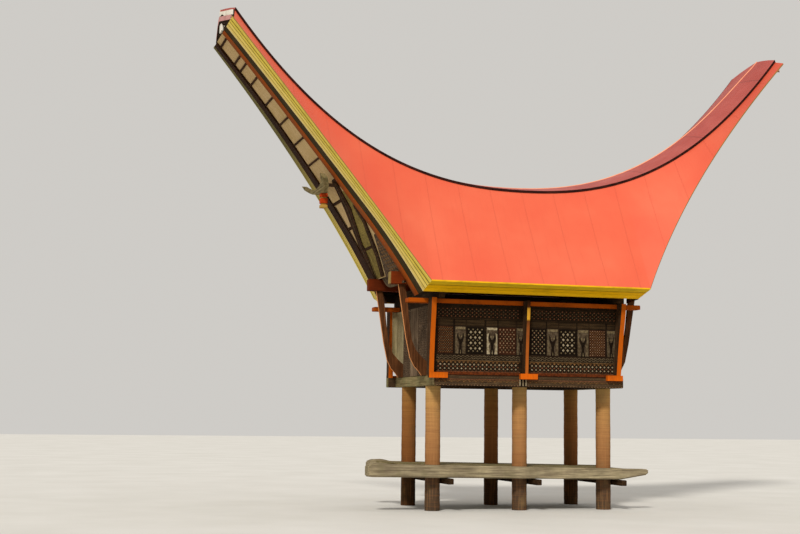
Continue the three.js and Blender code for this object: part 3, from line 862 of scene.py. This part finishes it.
def gable_carving(end, side):
    """The carved board beside the near rafter, and the carved lintel with a pale lip."""
    board = Shape()
    on_gable(board, side, CARVED_BOARD, 0.03)
    for t in spaced(9, 0.09, 0.2):
        share = (t - 0.08) / 0.145
        for row in range(4):
            y = -1.1 + 0.2 * row + 0.1 * share
            if y < 0.1 - 0.95 * share:
                cut = [(t - 0.003, y - 0.05, y + 0.04), (t + 0.003, y - 0.02, y + 0.07)]
                on_gable(board, side, cut, 0.012, 1, 0.03)
    board.make(f"gable_board_{end}", "gable_carving sand", "carved_wood")
    back, front = side * LINTEL_X, side * LINTEL_FRONT
    lintel = Shape().plate(LINTEL_LOW + LINTEL_HIGH, 0, back, front)
    lip = [(y, z - 0.004) for y, z in LINTEL_LOW] + [(y, z + 0.04) for y, z in reversed(LINTEL_LOW)]
    lintel.plate(lip, 0, back, front + side * 0.015, 1)
    for a, b in zip(LINTEL_LOW[1:-2], LINTEL_LOW[2:-1]):
        y, z = (a[0] + b[0]) / 2, (a[1] + b[1]) / 2
        lintel.plate([(y - 0.05, z + 0.1), (y, z + 0.065), (y + 0.05, z + 0.1), (y, z + 0.17)], 0,
                     front - side * 0.005, front + side * 0.01, 1)
    lintel.make(f"gable_lintel_{end}", "gable_carving grey_carving", "carved_wood")


# The apex timber: how far it stands off the rafter boards, its level, and half its outline, as (Y, Z)
APEX_OUT = {-1: 0.4, 1: 0.2}
APEX_LOW, APEX_THICK = 7.86, 0.13
APEX_HALF = [(0.0, 7.9), (0.25, 7.908), (0.45, 7.93), (0.65, 7.965), (0.8, 8.01), (0.95, 8.075),
             (1.06, 8.13), (1.06, 8.23), (0.95, 8.18), (0.8, 8.12), (0.65, 8.075), (0.45, 8.045),
             (0.25, 8.025), (0.0, 8.015)]
# The hanging block under it: half width, top and bottom from its own top, look
BLOCK_TOP = 7.8997
BLOCK_PARTS = ((0.09, 0.0, -0.09, 0), (0.065, -0.09, -0.125, 1), (0.09, -0.125, -0.255, 0),
               (0.065, -0.255, -0.29, 1), (0.09, -0.29, -0.37, 1))
ROD_R, ROD_Y, ROD_Z = 0.014, 0.17, (7.62, 8.03)


def mirrored(half):
    """An outline from the half of it that runs from its middle to its middle."""
    return half + [(-u, v) for u, v in reversed(half[1:-1])]


def apex_plane(side):
    """The plane under the rafter boards that the apex timber lies against: its X at a level."""
    start = start_at(APEX_LOW)
    stations = [Station(t, side) for t in (start, start + (1 - start) / 7)]
    a, b = [p.at(0.0, p.zi - RAFTER_DROP) for p in stations]
    return lambda z: a.x + (b.x - a.x) / (b.z - a.z) * (z - a.z)


def apex(end, side):
    """A slim timber, curved up at both ends, held off by two short arms, with a hanging block and a rod."""
    x_at, out = apex_plane(side), APEX_OUT[side]

    def standing(outline, low, high):
        return [[Vector((x_at(z) + side * d, y, z)) for y, z in outline] for d in (low, high)]

    shape = Shape().loft(standing(mirrored(APEX_HALF), out - APEX_THICK, out))
    for y in (-0.62, 0.62):
        shape.loft(standing(oblong(y - 0.06, y + 0.06, 7.99, 8.06), 0.002, out - 0.12), 1)
    shape.make(f"apex_timber_{end}_dressed", "grey_y dark", "grey_timber", (f"apex_timber_{end}",))
    x = x_at(BLOCK_TOP) + side * (out - 0.1)
    block = Shape()
    for r, high, low, look in BLOCK_PARTS:
        block.block((x - r, -r, BLOCK_TOP + low), (x + r, r, BLOCK_TOP + high), look, 0.008)
    block.make(f"hanging_block_{end}_dressed", "block gilt", "block_paint", (f"hanging_block_{end}",))
    rod = Shape().loft([[Vector((x + ROD_R * math.cos(a), ROD_Y + ROD_R * math.sin(a), z))
                         for a in (0.0, 1.05, 2.09, 3.14, 4.19, 5.24)] for z in ROD_Z])
    rod.make(f"hanging_rod_{end}", "rod", "grey_timber")


def tip(end, side):
    """The closed end of the prow: a white board, a rose strip with dark lines, and a white block."""
    p = Station(SHEET_END[side], side)
    shape = Shape()
    reach, fall = 1.14, 0.25

    def band(high, low, out, look):
        """A folded board under the cap, from one depth below it to another."""
        sections = []
        for y in spaced(8, -reach, reach):
            top = p.zr + 0.19 - fall * abs(y) / CAP_HALF
            x = side * min(side * p.at(y, top - low).x + out + 0.025 * abs(y), TIP_X[side])
            corners = ((0.0, high), (0.0, low), (0.04, low), (0.04, high))
            sections.append([Vector((x - side * d, y, top - h)) for d, h in corners])
        shape.loft(sections, look)

    band(0.0, 0.135, 0.012, 0)
    band(0.135, 0.27, 0.013, 1)
    for depth in (0.137, 0.2, 0.262):
        band(depth - 0.009, depth + 0.009, 0.016, 2)
    level = p.zr + 0.19 - 0.27
    for y0, y1, deep in ((-0.55, 0.55, 0.16), (-0.2, 0.12, 0.26)):
        x = p.at(max(abs(y0), abs(y1)), level).x
        shape.block((min(x, x - side * 0.05), y0, level - deep), (max(x, x - side * 0.05), y1, level))
    shape.make(f"end_boards_{end}", "white_board pink_board batten", "edge_paint")


# ---- box ----

def oblong(x0, x1, z0, z1):
    return [(x0, z0), (x1, z0), (x1, z1), (x0, z1)]


# The carved panels of a long wall: kind, left side, right side
PANELS = (
    ("fine", -2.40, -1.98), ("figure", -1.95, -1.655), ("white", -1.655, -1.174),
    ("pale_figure", -1.135, -0.82), ("red", -0.82, -0.346), ("half", -0.33, -0.118),
    ("grey", 0.026, 0.466), ("figure", 0.466, 0.791), ("white", 0.791, 1.281),
    ("figure", 1.281, 1.61), ("pale", 1.61, 2.067), ("half", 2.103, 2.329),
)
PANEL_POSTS = (-1.965, -1.155, -0.83, 0.01, 0.46, 1.285, 2.085)
# A buffalo figure's parts, as shares of the panel from its middle and its foot. The horns start at a tip
HORNS = mirrored([(0, 0.52), (0.1, 0.54), (0.2, 0.62), (0.26, 0.76), (0.3, 0.64), (0.24, 0.5), (0.14, 0.42),
                  (0.1, 0.3), (0.15, 0), (0.05, 0), (0, 0.2)])
HORNS = HORNS[-3:] + HORNS[:-3]
FLANK = ((0.30, 0.78), (0.46, 0.74), (0.46, 0), (0.2, 0), (0.24, 0.12), (0.3, 0.3), (0.2, 0.38), (0.3, 0.44),
         (0.36, 0.55))
EYE = [(0.11 + 0.055 * math.cos(a), 0.64 + 0.045 * math.sin(a)) for a in spaced(7, 0.0, 5.5)]
WEDGE = ((-0.06, 0.0), (0.06, 0.0), (0.0, 0.16))
# The fields between the figures: ground, columns and rows, sizes of the two sets of lozenges, and their looks
FIELDS = {
    "white": ("near_black", (4, 5), ((0.056, 0.06), (0.084, 0.09)), ("cream", "white")),
    "grey": ("near_black", (4, 6), ((0.06, 0.062), (0.05, 0.052)), ("cream", "pale_pink")),
    "red": ("red_ground", (5, 6), ((0.05, 0.054), (0.05, 0.05)), ("pale_pink", "cream")),
    "fine": ("red_ground", (7, 10), ((0.034, 0.038), (0.034, 0.038)), ("sand", "cream")),
    "pale": ("red_ground", (7, 10), ((0.036, 0.04), (0.036, 0.04)), ("pale_pink", "sand")),
}
# Over and under the panels. Fillets: bottom, top, relief, look
FILLETS = ((4.70, 4.712, 0.012, "board"), (4.978, 4.99, 0.012, "board"),
           (3.686, 3.694, 0.012, "grey_carving"), (3.664, 3.678, 0.014, "sand"), (3.33, 3.40, 0.01, "red"),
           (3.405, 3.417, 0.014, "pink"))
# Rows: lowest and highest level, how many, size, look, relief, 1 where they stand between the others' columns
ROWS = ((4.765, 4.945, 3, (0.062, 0.05), "pink", 0.012, 0),
        (4.81, 4.90, 2, (0.058, 0.046), "grey_carving", 0.012, 1),
        (3.578, 3.578, 1, (0.066, 0.062), "white", 0.014, 1),
        (3.528, 3.528, 1, (0.062, 0.058), "pink", 0.014, 0),
        (3.48, 3.48, 1, (0.058, 0.054), "white", 0.014, 1),
        (3.442, 3.442, 1, (0.05, 0.03), "pink", 0.012, 0))
WAVES, WAVE_HIGH, WAVE_LONG = (3.785, 3.733), 0.017, 0.11
TRIANGLES = (3.635, (0.105, 0.07), "sand", 0.014)
HEAD_BOARDS, PANEL_POST_TOP = ((4.545, 4.60), (4.612, 4.675)), 4.69
# The sill's rows, from the top down, and the striped block in its middle
CUTS_Z, BAND_Z, SCROLLS_Z, DOTS_Z, DASHES_Z = 3.265, (3.205, 3.222), 3.165, 3.117, 3.076
STRIPES_Z, STRIPES_X = (3.075, 3.235), (-0.285, -0.245, -0.205, -0.165, -0.125)


def buffalo(shape, x0, x1, pale="cream", flank="grey_carving"):
    """A buffalo figure: dark horned body, pale eyes, light flanks and a light wedge between its legs."""
    middle, wide, tall = (x0 + x1) / 2, x1 - x0, PANEL_HIGH - PANEL_LOW

    def put(outline, depth, look, flip=1):
        corners = [(middle + flip * u * wide, PANEL_LOW + v * tall) for u, v in outline]
        shape.relief(corners, depth, look)

    put(oblong(-0.5, 0.5, 0, 1), 0.004, "figure_ground")
    put(oblong(-0.44, 0.44, 0.89, 0.98), 0.014, pale)
    put(HORNS, 0.02, "black")
    for flip in (-1, 1):
        put(FLANK, 0.012, flank, flip)
        put(EYE, 0.014, "cream", flip)
    put(WEDGE, 0.016, pale)


def lattice(shape, x0, x1, ground, grid, sizes, looks):
    """A field of lozenges in rows, with a second set between them."""
    columns, rows = grid
    shape.relief(oblong(x0, x1, PANEL_LOW, PANEL_HIGH), 0.004, ground)
    px, pz = (x1 - x0) / columns, (PANEL_HIGH - PANEL_LOW) / rows
    for i, (share, relief) in enumerate(((0.5, 0.016), (1, 0.014))):
        x, z = (x0 + px * share, x1 - px * share), (PANEL_LOW + pz * share, PANEL_HIGH - pz * share)
        shape.rows(x, z, (columns - i, rows - i), sizes[i], looks[i], relief, 0.003)


def carve_wall(name, hand):
    shape = Shape(hand)
    for x0, x1 in ((-2.42, -0.24), (-0.03, 2.36)) if hand < 0 else ((-2.42, 2.42),):
        columns = round((x1 - x0) / WAVE_LONG)
        pitch = (x1 - x0) / columns
        wide, narrow = (x0 + pitch / 2, x1 - pitch / 2), (x0 + pitch, x1 - pitch)
        for low, high, relief, look in FILLETS:
            shape.relief(oblong(x0, x1, low, high), relief, look)
        for low, high, count, size, look, relief, between in ROWS:
            x = narrow if between else wide
            shape.rows(x, (low, high), (columns - between, count), size, look, relief)
        for level in WAVES:
            path = [(x, level + WAVE_HIGH * math.sin(x * math.tau / WAVE_LONG))
                    for x in spaced(int((x1 - x0) / 0.0138), x0, x1)]
            shape.ribbon(path, 0.017, 0.012, "grey_carving")
        z, size, look, relief = TRIANGLES
        shape.rows(wide, (z, z), (columns, 1), size, look, relief, corners=3, spin=-math.pi / 2)
    for kind, x0, x1 in PANELS:
        for low, high in HEAD_BOARDS:
            shape.relief(oblong(x0 + 0.012, x1 - 0.012, low, high), 0.008, "board")
        edge = 0.0 if kind == "half" else 0.01
        if kind in FIELDS:
            lattice(shape, x0 + edge, x1 - edge, *FIELDS[kind])
        else:
            buffalo(shape, x0 + edge, x1 - edge, *(("white", "white") if kind == "pale_figure" else ()))
    for x in PANEL_POSTS:
        shape.relief(oblong(x - 0.012, x + 0.012, PANEL_LOW, PANEL_POST_TOP), 0.012, "black")
    shape.make(f"wall_carving_{name}", LOOKS, "carved_wood", smooth=20.0)


def carve_sill(name, hand):
    """The long sill's rows: small cuts above, a reddish fillet, scrolls, dots, and pale dashes below."""
    shape = Shape(hand, SILL_Y)

    def row(x, z, columns, size, look):
        shape.rows(x, (z, z), (columns, 1), size, look, 0.009)

    for x0, x1 in ((-2.19, -0.30), (0.15, 2.02)) if hand < 0 else ((-2.19, 2.02),):
        row((x0 + 0.04, x1 - 0.04), CUTS_Z, round((x1 - x0) / 0.075), (0.045, 0.03), "grey_carving")
    for x0, x1 in ((-2.46, -0.31), (-0.09, 2.48)) if hand < 0 else ((-2.46, 2.48),):
        columns = round((x1 - x0) / 0.08)
        shape.relief(oblong(x0, x1, *BAND_Z), 0.01, "pink")
        for i in range(columns):
            x = x0 + (i + 0.5) * (x1 - x0) / columns
            turn = 0.034 if i % 2 else -0.034
            path = [(x + turn * math.cos(a), SCROLLS_Z + 0.02 * math.sin(a)) for a in spaced(5, 0.2, 4.2)]
            shape.ribbon(path, 0.011, 0.01, "sand")
        inside = (x0 + 0.03, x1 - 0.03)
        row(inside, DOTS_Z, 2 * columns, (0.024, 0.024), "cream")
        row(inside, DASHES_Z, columns, (0.055, 0.022), "pale_pink")
    if hand < 0:
        for i, x in enumerate(STRIPES_X):
            shape.relief(oblong(x - 0.014, x + 0.014, *STRIPES_Z), 0.012, "black" if i % 2 else "white")
    shape.make(f"sill_carving_{name}", LOOKS, "carved_wood", smooth=20.0)


def timber(kind, place, finish, edge, look=lambda n, c: 0, name=None):
    """A solid's own shape with its edges eased. The look of a face comes from its way n and its middle c."""
    node = NODES[f"{kind}_{place}"]
    bm = bmesh.new()
    bm.from_mesh(node.data)
    bm.transform(node.matrix_world)
    bmesh.ops.remove_doubles(bm, verts=bm.verts, dist=1e-5)
    bmesh.ops.dissolve_limit(bm, angle_limit=0.02, verts=bm.verts, edges=bm.edges)
    sharp = [e for e in bm.edges if len(e.link_faces) == 2 and e.calc_face_angle(0.0) > 0.6]
    bmesh.ops.bevel(bm, geom=sharp, offset=edge, segments=2, affect="EDGES", clamp_overlap=True)
    looks = [look(f.normal, f.calc_center_median() - MIDDLE_X) for f in bm.faces]
    points, faces = taken(bm)
    piece(f"{name or kind + '_timber'}_{place}", [p - MIDDLE_X for p in points], faces, finish,
          (f"{kind}_{place}",), looks=looks)


def box_walls():
    for name, hand in SIDES:
        timber("wall", name, "ground pale_z", 0.004, lambda n, c: int(c.x < -WALL_X - 0.02),
               "wall_boards")
        timber("sill", name, "sill grey_y", 0.012, lambda n, c: int(abs(n.x) > 0.7))
        timber("plate", name, "orange_plate pink_end", 0.01, lambda n, c: int(n.x > 0.7))
        carve_wall(name, hand)
        carve_sill(name, hand)
    for end, side in ENDS:
        timber("wall", end, "dark", 0.004, name="end_wall_boards")
        timber("end_sill", end, "grey_y", 0.012)
        end_boards(end, side)


# The end walls' boards: their joints, the levels of the lines cut in them, and the painted stripes low down
CLAD_JOINTS, LINES_Z = (-1.665, -1.12, -0.299, 0.376, 1.03, 1.665), (3.72, 5.0)
PALE_Y, PALE_Z = (-0.98, -0.62), (3.34, 3.7)


def end_boards(end, side):
    """Wide weathered boards on an end wall, with open joints, cut lines and a few pale stripes low down."""
    shape = Shape()

    def strip(y, half, low, high, back, front, look):
        outline = oblong(y - half, y + half, low, high)
        shape.plate(outline, 0, side * (WALL_X + back), side * (WALL_X + front), look)

    for i, (y0, y1) in enumerate(zip(CLAD_JOINTS, CLAD_JOINTS[1:])):
        look = 5 if y0 > 1 else i % 2
        strip((y0 + y1) / 2, (y1 - y0) / 2 - 0.012, CLAD_LOW, CLAD_HIGH, -0.002, 0.016, look)
        for y in spaced(5, y0 + 0.09, y1 - 0.09):
            strip(y, 0.006, *LINES_Z, 0.01, 0.019, 2)
    for k, y in enumerate(spaced(5, *PALE_Y)):
        strip(y, 0.028, *PALE_Z, 0.01, 0.024, 3 if k % 2 else 4)
    if side < 0:
        # The far wall's own boards run on past the end wall, and their near face is pale
        inner, outer = -WALL_X - 0.018, -2.577
        shape.plate([(outer, 3.91), (inner, 3.68), (inner, 5.06), (outer, 5.06)], 1, 1.660, 1.6705, 5)
    shape.make(f"end_cladding_{end}", "grey_z gable_carving batten white black pale_z", "grey_timber")


def timbers():
    """Posts, beams, brackets and platform: the solids' own shapes with eased edges and their paints."""
    for name, hand in SIDES:
        # Painted shade: the far beam takes the plain beam paint on its end and side, while the near beam has
        # a pale end and a brighter side
        paints = "beam beam_side beam_end" if hand < 0 else "beam beam beam"
        timber("long_beam", name, paints, 0.012,
               lambda n, c: 2 if n.x < -0.7 else int(n.y < -0.7))
        for step, place in enumerate(PLACES, -1):
            front = "faded_orange" if place == "middle" else "orange"
            # The side faces that look to -X are dark: painted shade over weathered wood
            timber("bracket", f"{place}_{name}", front + " bracket_side", 0.006,
                   lambda n, c: int(n.x < -0.7 and c.z > 3.4), "side_bracket")
            post(f"post_{place}_{name}", step * POST_PITCH, hand * POST_Y)
        for end, side in ENDS:
            timber("end_bracket", f"{end}_{name}", "bracket_brown peach", 0.004,
                   lambda n, c: int(abs(n.y) < 0.5 and n.x * side > 0), "end_bracket_board")
        timber("platform_plank", name, "plank", 0.025, name="plank")
    for place in PLACES:
        for kind in ("cross_beam", "bearer"):
            timber(kind, place, "dark", 0.01)
    for end, _ in ENDS:
        timber("tie", end, "dark", 0.01)


def post(node_name, x, y):
    """A palm trunk with faint rings, a little slimmer between them."""
    sections, rings, corners = [], 39, 48
    for k in range(rings + 1):
        z = (SILL_LOW - GAP) * k / rings
        hollow = 0.0015 + 0.0035 * (0.5 + 0.5 * math.sin(k * 2.1)) + 0.002 * math.sin(k * 0.37 + x)
        r = POST_R - max(0.0, hollow)
        turns = spaced(corners, 0, math.tau)[:-1]
        sections.append([Vector((x + r * math.cos(a), y + r * math.sin(a), z)) for a in turns])
    points, faces, uv = loft(sections)
    piece(f"trunk_{node_name}", points, faces, "post", (node_name,), uv)


# ---- camera and light ----

def make_camera():
    """The camera stands where the photographer stood: sizes in metres, angles in degrees."""
    stand, angles = Vector((-12.673, -34.365, 2.289)), (15.918, 6.10, 0.638)
    data = bpy.data.cameras.new("photo_view")
    data.sensor_width, data.lens, data.clip_end = 36.0, 63.02, 300.0
    camera = placed("photo_view", data)
    turn, tilt, roll = (math.radians(a) for a in angles)
    way = Matrix.Rotation(-turn, 4, "Z") @ Matrix.Rotation(math.pi / 2 + tilt, 4, "X")
    camera.matrix_world = Matrix.Translation(stand + MIDDLE_X) @ way @ Matrix.Rotation(roll, 4, "Z")
    bpy.context.scene.camera = camera


def make_studio():
    """A pale floor and soft light: a wide sun from the front left and an even pale surround."""
    scene = bpy.context.scene
    scene.view_settings.view_transform = "Standard"
    mesh = bpy.data.meshes.new("floor")
    reach = 120.0
    mesh.from_pydata([(x, y, 0) for x, y in oblong(-reach, reach, -reach, reach)], [], [(0, 1, 2, 3)])
    f = Finish("pale_floor")
    f.put(f.shader.inputs["Base Color"], f.ramp(f.noise(0.4), "0.3 d6d4cf 0.7 dedcd8"))
    f.put(f.shader.inputs["Roughness"], 0.9)
    mesh.materials.append(f.material)
    floor = placed("floor_stage", mesh)
    world = bpy.data.worlds.new("studio")
    world.use_nodes = True
    surround = world.node_tree.nodes["Background"].inputs
    surround["Color"].default_value, surround["Strength"].default_value = (1.0, 0.97, 0.92, 1), 0.62
    scene.world = world
    light = bpy.data.lights.new("soft_sun", "SUN")
    light.energy, light.angle, light.color = 2.4, math.radians(8), (1.0, 0.96, 0.88)
    sun = placed("soft_sun", light)
    sun.rotation_euler = Vector((0.42, 0.72, -0.62)).to_track_quat("-Z", "Y").to_euler()


make_camera()
make_studio()
roof()
for end, side in ENDS:
    battens(end, side)
    fan(end, side)
    gable_carving(end, side)
    apex(end, side)
    tip(end, side)
box_walls()
timbers()

for name, finish in (("deck", "grey_y"), ("floor", "grey_x")):
    NODES[name].data.materials.clear()
    NODES[name].data.materials.append(FINISH[finish])
